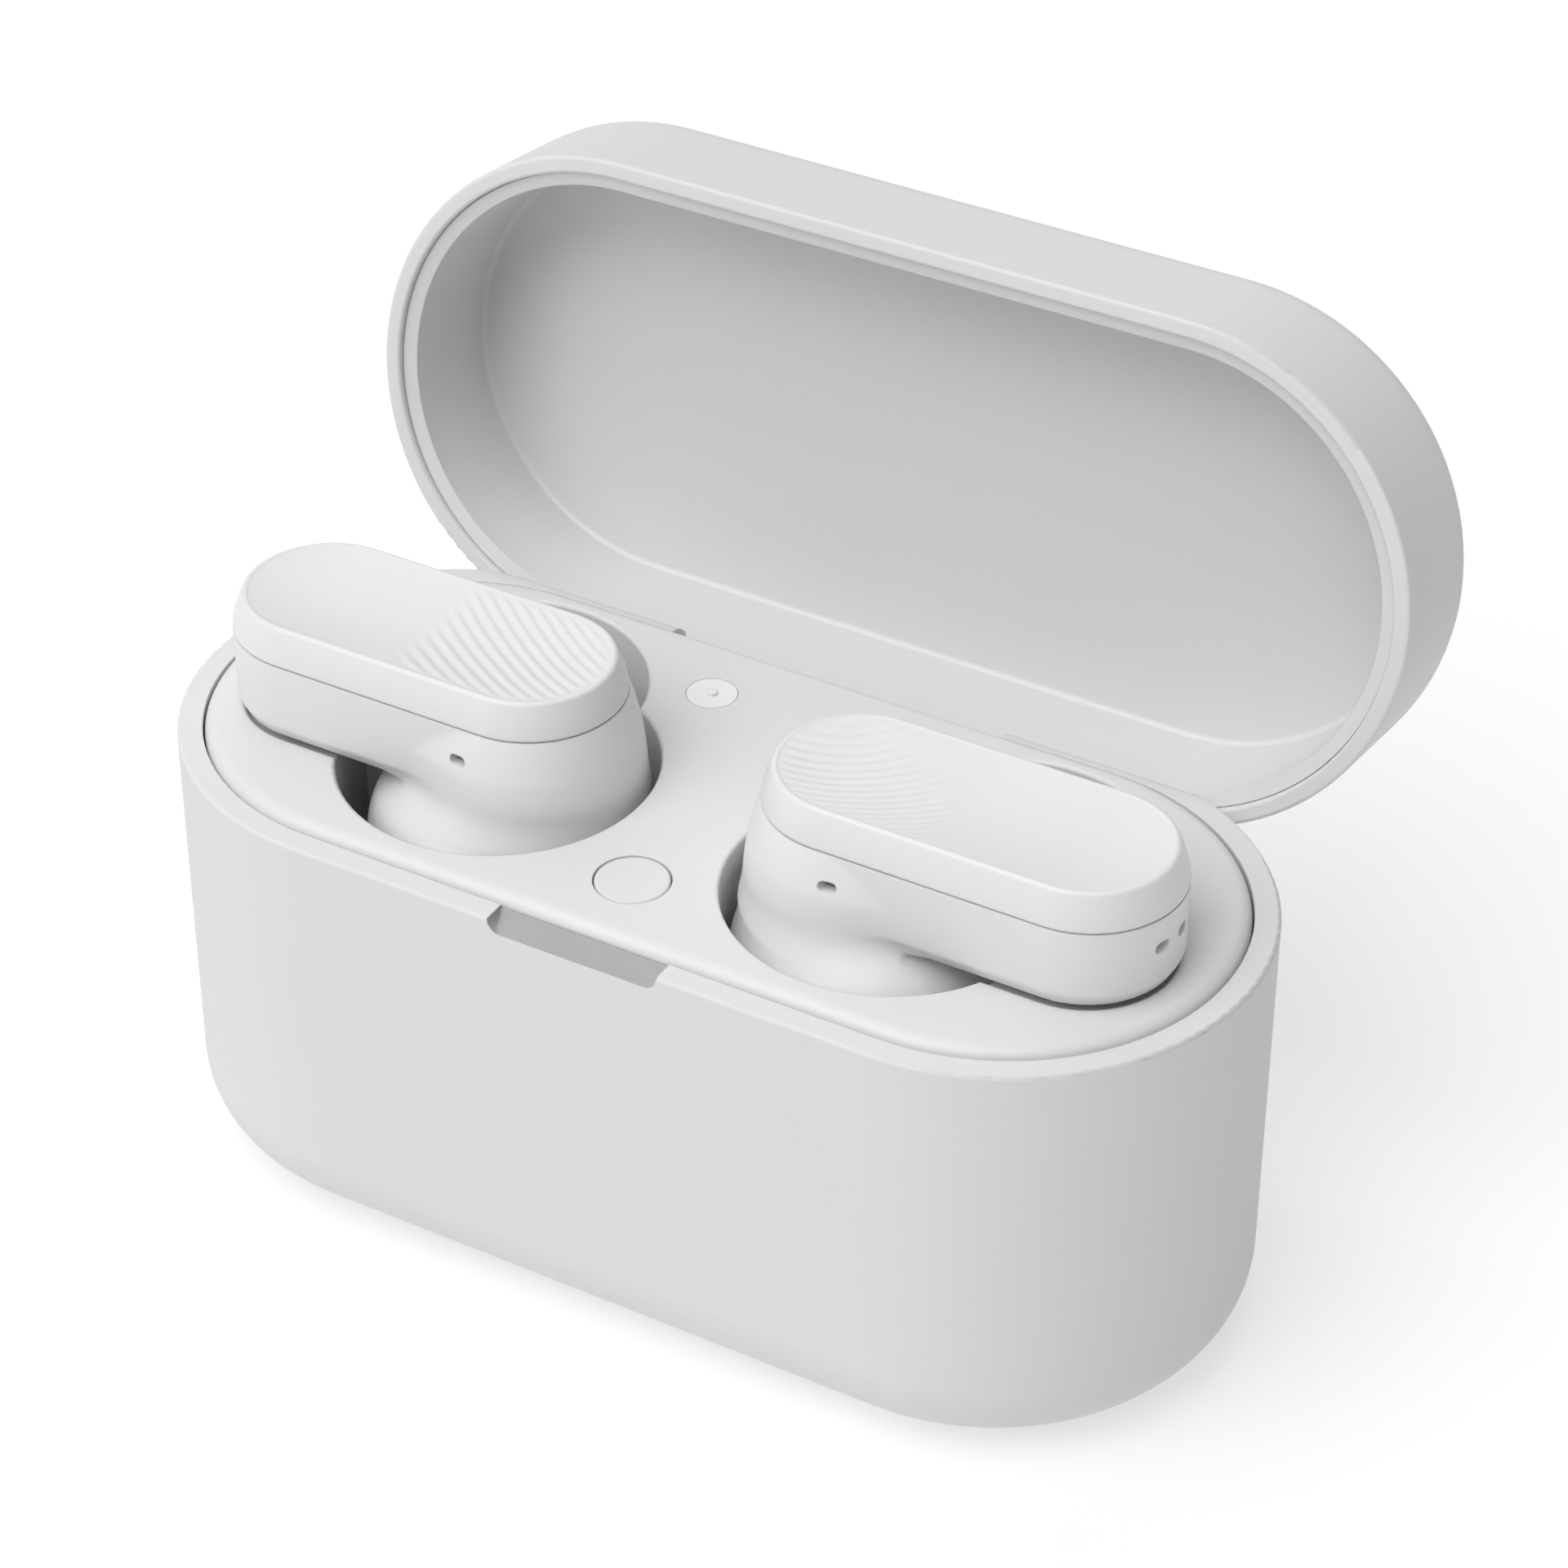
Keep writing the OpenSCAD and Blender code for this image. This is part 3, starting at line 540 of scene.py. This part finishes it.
def skin_mesh(distance, low, high, step):
    """Quads over the surface where a distance field is zero, with the corners moved onto it."""
    axes = [np.arange(a, b, step) for a, b in zip(low, high)]
    field = distance(*np.meshgrid(*axes, indexing="ij"))
    within = field < 0
    cells = np.zeros(np.array(field.shape) - 1, np.uint8)
    corners = [(i, j, k) for i in (0, 1) for j in (0, 1) for k in (0, 1)]
    for i, j, k in corners:
        cells += within[i:i + cells.shape[0], j:j + cells.shape[1], k:k + cells.shape[2]]
    crossed = np.argwhere((cells > 0) & (cells < 8))
    values = np.stack([field[tuple((crossed + corner).T)] for corner in corners], 1)
    total = np.zeros((len(crossed), 3))
    count = np.zeros((len(crossed), 1))
    for a, first in enumerate(corners):
        for b, second in enumerate(corners):
            if b > a and sum(abs(p - q) for p, q in zip(first, second)) == 1:
                cut = (values[:, a] < 0) != (values[:, b] < 0)
                share = values[cut, a] / (values[cut, a] - values[cut, b])
                total[cut] += np.array(first) + share[:, None] * (np.array(second) - np.array(first))
                count[cut] += 1
    verts = (crossed + total / count) * step + np.array([axis[0] for axis in axes])
    index = np.full(cells.shape, -1)
    index[tuple(crossed.T)] = np.arange(len(crossed))
    quads = []
    for axis in range(3):
        one, two = [np.eye(3, dtype=int)[(axis + turn) % 3] for turn in (1, 2)]
        ahead = np.roll(within, -1, axis)
        for entering in (True, False):
            edge = np.argwhere((ahead & ~within) if entering else (within & ~ahead))
            edge = edge[np.all(edge > 0, 1) & np.all(edge < np.array(cells.shape), 1)]
            around = [edge - one - two, edge - two, edge, edge - one]
            ring = np.stack([index[tuple(cell.T)] for cell in around], 1)
            quads.append(ring[:, ::-1] if entering else ring)
    for _ in range(3):
        nudge = 0.01
        here = distance(*verts.T)
        slope = np.stack([distance(*(verts + nudge * unit).T) - here for unit in np.eye(3)], 1) / nudge
        move = here[:, None] * slope / np.maximum((slope ** 2).sum(1, keepdims=True), 0.25)
        verts -= np.clip(move, -0.5 * step, 0.5 * step)
    return verts, np.concatenate(quads)


def slot_cutter(centre, outward, half_long, half_high, depth):
    """A round-ended bar across the wall at `centre`, for cutting a slot."""
    around = 32
    past_skin = 2.0
    sideways = Vector((0, 0, 1)).cross(outward).normalized()
    outline = []
    for turn in np.linspace(0, math.tau, around, endpoint=False):
        shift = math.copysign(half_long - half_high, math.cos(turn))
        outline.append((shift + half_high * math.cos(turn), half_high * math.sin(turn)))
    ends = [[centre + sideways * u + Vector((0, 0, v)) + outward * reach for u, v in outline]
            for reach in (-depth, past_skin)]
    sides = [(i, (i + 1) % around, around + (i + 1) % around, around + i) for i in range(around)]
    lids = [tuple(range(around - 1, -1, -1)), tuple(range(around, 2 * around))]
    return [corner[:] for end in ends for corner in end], sides + lids


def housing_cuts():
    """Cutters for the microphone slot, the dents in the stem's end and the contact holes."""
    mic = (mic_low + mic_high) / 2
    slot_half_long = 0.5
    mic_half_high, mic_depth = 0.3, 1.2
    yield slot_cutter(Vector((mic.x, mic.y, mic.z)), Vector((0, -1, 0)),
                      slot_half_long, mic_half_high, mic_depth)
    dent_half_high, dent_depth, dents_down = 0.32, 0.45, 1.8
    dent_angles = (-16, 5, 25)
    cap_at = Vector((cover_low.x + stem_radius, stem_centre.y, parting - dents_down))
    for angle in dent_angles:
        turn = math.radians(angle)
        outward = Vector((-math.cos(turn), math.sin(turn), 0))
        yield slot_cutter(cap_at + outward * stem_radius, outward,
                          slot_half_long, dent_half_high, dent_depth)
    around = 40
    pad_radius = (contact_high.y - contact_low.y) / 2
    pad_y = contact_low.y + pad_radius
    for x in (contact_low.x + pad_radius, contact_high.x - pad_radius):
        verts = []
        for z in (body_under - 1, body_under + 1.1):
            for turn in np.linspace(0, math.tau, around, endpoint=False):
                reach = pad_radius + 0.02
                verts.append((x + reach * math.cos(turn), pad_y + reach * math.sin(turn), z))
        sides = [(i, (i + 1) % around, around + (i + 1) % around, around + i) for i in range(around)]
        yield verts, sides + [tuple(range(around - 1, -1, -1)), tuple(range(around, 2 * around))]


def plain_copy(piece):
    """The evaluated piece's mesh, after which the piece and its modifiers are dropped."""
    depsgraph = bpy.context.evaluated_depsgraph_get()
    mesh = bpy.data.meshes.new_from_object(piece.evaluated_get(depsgraph))
    bpy.data.objects.remove(piece)
    return mesh


def left_housing_mesh():
    low = (cover_low.x - 0.6, body_at.y - body_radius - 0.8, nozzle_end - 0.6)
    high = (cover_high.x + 1.9, lobe_at.y + lobe_radius + 0.8, parting + 1)
    cell_size = 0.18
    verts, quads = skin_mesh(housing_skin, low, high, cell_size)
    block = place_mesh("housing_block", verts.tolist(), quads.tolist())
    build = bmesh.new()
    build.from_mesh(block.data)
    everything = build.verts[:] + build.edges[:] + build.faces[:]
    bmesh.ops.bisect_plane(build, geom=everything, plane_co=(0, 0, parting - 0.04),
                           plane_no=(0, 0, 1), clear_outer=True)
    rims = [edge for edge in build.edges if edge.is_boundary]
    bmesh.ops.bridge_loops(build, edges=rims)
    bmesh.ops.recalc_face_normals(build, faces=build.faces[:])
    build.to_mesh(block.data)
    build.free()
    for verts, faces in housing_cuts():
        cutter = place_mesh("cutter", verts, faces, smooth=False)
        cut = block.modifiers.new("cut", "BOOLEAN")
        cut.object = cutter
        cut.solver = "EXACT"
    mesh = plain_copy(block)
    for cutter in [o for o in bpy.data.objects if o.name.startswith("cutter")]:
        bpy.data.objects.remove(cutter)
    return mesh


def seat_pair(piece_name, mesh, material):
    """Hangs a left piece, drawn in mm, and its mirror image on the two earbuds."""
    points = np.zeros(len(mesh.vertices) * 3)
    mesh.vertices.foreach_get("co", points)
    points = points.reshape(-1, 3) * MM
    faces = [tuple(face.vertices) for face in mesh.polygons]
    for side, sign in (("left", 1), ("right", -1)):
        turned = faces if sign == 1 else [face[::-1] for face in faces]
        piece = place_mesh(f"{side}_{piece_name}_skin", (points * (sign, 1, 1)).tolist(), turned)
        piece.data.set_sharp_from_angle(angle=math.radians(38))
        piece.data.materials.append(material)
        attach(piece, f"{side}_earbud")
        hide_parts(f"{side}_{piece_name}")


seat_pair("housing", left_housing_mesh(), housing_white)


# ---- Touch covers ----
# The outer face of each earbud, a thinner moulding with a dished, partly ribbed top, snapped onto
# the housing along a fine parting line. The ribs fan across the inner half and die out in it.
cover_white = moulded("cover_white", (0.72, 0.712, 0.715), (0.703, 0.695, 0.698), 0.34, 0.46,
                      grains=9000.0, relief=0.000002, dust=0.08)
cover_height = cover_high.z - parting
face_radius = stem_radius - 0.78
dish_depth = 0.45
rim_round = 0.28


def cover_profile():
    """Distance out from the cover's middle line and height above the parting line."""
    rings = 43
    crest = cover_height - rim_round
    points = []
    for i in range(rings):
        out = i / rings
        points.append((face_radius * out, cover_height - 0.02 - dish_depth * (1 - out * out)))
    for angle in np.radians(np.linspace(100, 20, 9)):
        points.append((face_radius + rim_round * math.cos(angle), crest + rim_round * math.sin(angle)))
    brow = points[-1]
    for share in np.linspace(0, 1, 11)[1:]:
        bulge = 0.07 * math.sin(math.pi * share)
        points.append((brow[0] + (stem_radius - brow[0]) * share + bulge,
                       brow[1] + (0.16 - brow[1]) * share))
    for angle in np.radians([0, 30, 60, 90]):
        points.append((stem_radius - 0.1 + 0.1 * math.cos(angle), 0.13 - 0.1 * math.sin(angle)))
    inner = stem_radius - housing_wall
    ceiling = 0.9
    points += [(inner, 0.03), (inner, ceiling)]
    points += [(inner * share, ceiling) for share in (0.8, 0.5, 0.2, 0.0)]
    return points


def cover_blank(name):
    """The unribbed cover, centred on the origin with its inner end towards -X."""
    straight = 120
    cap = 130
    verts = []
    profile = cover_profile()
    for out, height in profile:
        for i in range(straight):
            verts.append((stem_run * (2 * i / straight - 1), -out, height))
        for turn in np.linspace(-math.pi / 2, math.pi / 2, cap, endpoint=False):
            verts.append((stem_run + out * math.cos(turn), out * math.sin(turn), height))
        for i in range(straight):
            verts.append((stem_run * (1 - 2 * i / straight), out, height))
        for turn in np.linspace(math.pi / 2, 1.5 * math.pi, cap, endpoint=False):
            verts.append((-stem_run + out * math.cos(turn), out * math.sin(turn), height))
    around = 2 * (straight + cap)
    faces = []
    for ring in range(len(profile) - 1):
        for i in range(around):
            j = (i + 1) % around
            base = ring * around
            faces.append((base + i, base + around + i, base + around + j, base + j))
    blank = place_mesh(name, verts, faces)
    build = bmesh.new()
    build.from_mesh(blank.data)
    bmesh.ops.remove_doubles(build, verts=build.verts[:], dist=0.0005)
    bmesh.ops.recalc_face_normals(build, faces=build.faces[:])
    build.to_mesh(blank.data)
    build.free()
    return blank


def make_rib_press():
    """Geometry Nodes: presses ribs into the top of a cover, along lines of equal phase."""
    tree = bpy.data.node_groups.new("rib_press", "GeometryNodeTree")
    tree.interface.new_socket("Geometry", in_out="INPUT", socket_type="NodeSocketGeometry")
    sizes = {"Run": stem_run, "Face Radius": face_radius, "Relief": 0.075, "Phase": 0.0,
             "Along": 0.0, "Across": 0.0, "Bow Along": 0.0, "Twist": 0.0, "Bow Across": 0.0}
    for label, value in sizes.items():
        socket = tree.interface.new_socket(label, in_out="INPUT", socket_type="NodeSocketFloat")
        socket.default_value = value
    tree.interface.new_socket("Finish", in_out="INPUT", socket_type="NodeSocketMaterial")
    tree.interface.new_socket("Geometry", in_out="OUTPUT", socket_type="NodeSocketGeometry")
    given = tree.nodes.new("NodeGroupInput").outputs
    split = tree.nodes.new("ShaderNodeSeparateXYZ")
    wire(tree, tree.nodes.new("GeometryNodeInputPosition").outputs[0], split.inputs[0])
    x, y, z = split.outputs

    def times(first, second):
        return calc(tree, "MULTIPLY", first, second)

    def plus(*terms):
        total = terms[0]
        for term in terms[1:]:
            total = calc(tree, "ADD", total, term)
        return total

    def fade(value, nothing, full):
        node = tree.nodes.new("ShaderNodeMapRange")
        node.interpolation_type = "SMOOTHSTEP"
        wire(tree, value, node.inputs["Value"])
        wire(tree, nothing, node.inputs["From Min"])
        wire(tree, full, node.inputs["From Max"])
        return node.outputs["Result"]

    phase = plus(given["Phase"], times(given["Along"], x), times(given["Across"], y),
                 times(given["Bow Along"], times(x, x)), times(given["Twist"], times(x, y)),
                 times(given["Bow Across"], times(y, y)))
    wave = calc(tree, "SUBTRACT", 0.5, times(0.5, calc(tree, "COSINE", times(phase, math.tau))))
    past_end = calc(tree, "MAXIMUM", calc(tree, "SUBTRACT", calc(tree, "ABSOLUTE", x), given["Run"]), 0.0)
    from_middle = calc(tree, "SQRT", plus(times(past_end, past_end), times(y, y)))
    from_rim = calc(tree, "SUBTRACT", given["Face Radius"], from_middle)
    presence = times(times(fade(x, 0.6, -1.8), fade(from_rim, 0.05, 0.75)), fade(z, 1.2, 1.3))
    lift = tree.nodes.new("ShaderNodeCombineXYZ")
    wire(tree, times(times(wave, presence), given["Relief"]), lift.inputs["Z"])
    press = tree.nodes.new("GeometryNodeSetPosition")
    wire(tree, given["Geometry"], press.inputs["Geometry"])
    wire(tree, lift.outputs[0], press.inputs["Offset"])
    real = tree.nodes.new("GeometryNodeRealizeInstances")
    wire(tree, press.outputs[0], real.inputs[0])
    paint = tree.nodes.new("GeometryNodeSetMaterial")
    wire(tree, real.outputs[0], paint.inputs["Geometry"])
    wire(tree, given["Finish"], paint.inputs["Material"])
    wire(tree, paint.outputs[0], tree.nodes.new("NodeGroupOutput").inputs[0])
    return tree


rib_press = make_rib_press()
rib_courses = {
    "left": {"Phase": 11.84, "Along": 0.812, "Across": -1.043, "Bow Along": -0.0015,
             "Twist": 0.038, "Bow Across": -0.010},
    "right": {"Phase": 13.11, "Along": 1.617, "Across": -1.136, "Bow Along": 0.057,
              "Twist": 0.019, "Bow Across": 0.059}}
for side, facing in (("left", -1), ("right", 1)):
    blank = cover_blank(f"{side}_cover_blank")
    ribs = blank.modifiers.new("ribs", "NODES")
    ribs.node_group = rib_press
    sockets = {item.name: item.identifier for item in rib_press.interface.items_tree
               if item.in_out == "INPUT"}
    for label, value in rib_courses[side].items():
        ribs[sockets[label]] = value
    ribs[sockets["Finish"]] = cover_white
    ribbed = plain_copy(blank)
    verts = [(facing * (v.co.x - stem_centre.x) * MM, (v.co.y + stem_centre.y) * MM,
              (v.co.z + parting) * MM) for v in ribbed.vertices]
    faces = [tuple(face.vertices)[::facing] for face in ribbed.polygons]
    cover = place_mesh(f"{side}_touch_cover_skin", verts, faces)
    cover.data.set_sharp_from_angle(angle=math.radians(50))
    cover.data.materials.append(cover_white)
    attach(cover, f"{side}_earbud")
    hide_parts(f"{side}_touch_cover")


# ---- Drivers and gauze ----
# The speaker units are black polymer caps. Fine woven steel gauze closes the nozzle and the
# microphone slot, its wires crossing over and under, with painted shade near black in the gaps between
# the wires.
driver_black = moulded("driver_black", (0.03, 0.03, 0.032), (0.02, 0.02, 0.022), 0.3, 0.45,
                       rubbed=(0.08, 0.08, 0.08))
dress("driver_black", driver_black)


def gauze_height(tree, place):
    split = tree.nodes.new("ShaderNodeSeparateXYZ")
    wire(tree, place, split.inputs[0])
    wire_pitch = 0.12 * MM
    along = calc(tree, "SINE", calc(tree, "MULTIPLY", split.outputs["X"], math.tau / wire_pitch))
    upright = calc(tree, "ADD", split.outputs["Y"], split.outputs["Z"])
    across = calc(tree, "SINE", calc(tree, "MULTIPLY", upright, math.tau / wire_pitch))
    return calc(tree, "ADD", calc(tree, "MULTIPLY", calc(tree, "MAXIMUM", along, across), 0.5), 0.5)


def gauze_wires_and_painted_gap_shade(tree, place):
    # Painted shade: the low gaps between the wires are coloured near black to stand in for the shade in
    # the openings.
    return mix_colour(tree, gauze_height(tree, place), (0.08, 0.08, 0.08), (0.42, 0.41, 0.40))


mesh_grey = moulded("mesh_grey", None, None, 0.32, 0.45, relief=0.00003, colour=gauze_wires_and_painted_gap_shade,
                    height=gauze_height, rubbed=(0.4, 0.4, 0.4), Metallic=0.7)
dress("mesh_grey", mesh_grey)


# ---- Ear tips ----
# Soft white silicone in one moulding: a thin skirt turned back over a stiff core that grips the
# nozzle.
tip_silicone = moulded("tip_silicone", (0.66, 0.652, 0.65), (0.635, 0.628, 0.625), 0.4, 0.55,
                       grains=5000.0, relief=0.000003, dust=0.3, Subsurface_Weight=0.15,
                       Subsurface_Radius=(0.001, 0.0008, 0.0007))
tip_radius = (tip_high.x - tip_low.x) / 2
skirt_wall = 0.45
core_radius = 3.1
tip_bore = 1.8


def tip_profile():
    """Radius and height round the section, from the bore's mouth over the skirt and back."""
    mouth = tip_low.z
    widest = tip_high.z - 0.95
    lip = tip_bore + 0.35
    outer = [(lip + (tip_radius - lip) * math.sin(t) ** 0.9,
              widest - (widest - mouth) * math.cos(t)) for t in np.radians(np.linspace(0, 90, 25))]
    hem = [(tip_radius - 0.04, widest + 0.5), (tip_radius - 0.12, tip_high.z - 0.1),
           (tip_radius - 0.25, tip_high.z), (tip_radius - 0.4, tip_high.z - 0.06),
           (tip_radius - skirt_wall - 0.04, tip_high.z - 0.25)]
    hollow = widest - mouth - skirt_wall - 0.5
    inner = [(core_radius + 0.2 + (tip_radius - skirt_wall - core_radius - 0.2) * math.sin(t),
              widest - hollow * math.cos(t)) for t in np.radians(np.linspace(90, 0, 17))]
    core = [(core_radius, inner[-1][1] + 0.25), (core_radius, tip_high.z - 0.15),
            (core_radius - 0.15, tip_high.z), (nozzle_radius + 0.15, tip_high.z),
            (nozzle_radius + 0.02, tip_high.z - 0.15), (nozzle_radius + 0.02, nozzle_end - 0.02)]
    return outer + hem + inner + core + [(tip_bore, nozzle_end - 0.02), (tip_bore, mouth + 0.3),
                                         (tip_bore + 0.1, mouth + 0.08)]


def left_tip_mesh():
    around = 96
    profile = tip_profile()
    verts = [(lobe_at.x + out * math.cos(turn), lobe_at.y + out * math.sin(turn), height)
             for out, height in profile for turn in np.linspace(0, math.tau, around, endpoint=False)]
    faces = []
    for ring in range(len(profile)):
        after = (ring + 1) % len(profile)
        for i in range(around):
            j = (i + 1) % around
            faces.append((ring * around + i, ring * around + j, after * around + j, after * around + i))
    mesh = bpy.data.meshes.new("tip")
    mesh.from_pydata(verts, [], faces)
    build = bmesh.new()
    build.from_mesh(mesh)
    bmesh.ops.recalc_face_normals(build, faces=build.faces[:])
    build.to_mesh(mesh)
    build.free()
    return mesh


seat_pair("ear_tip", left_tip_mesh(), tip_silicone)
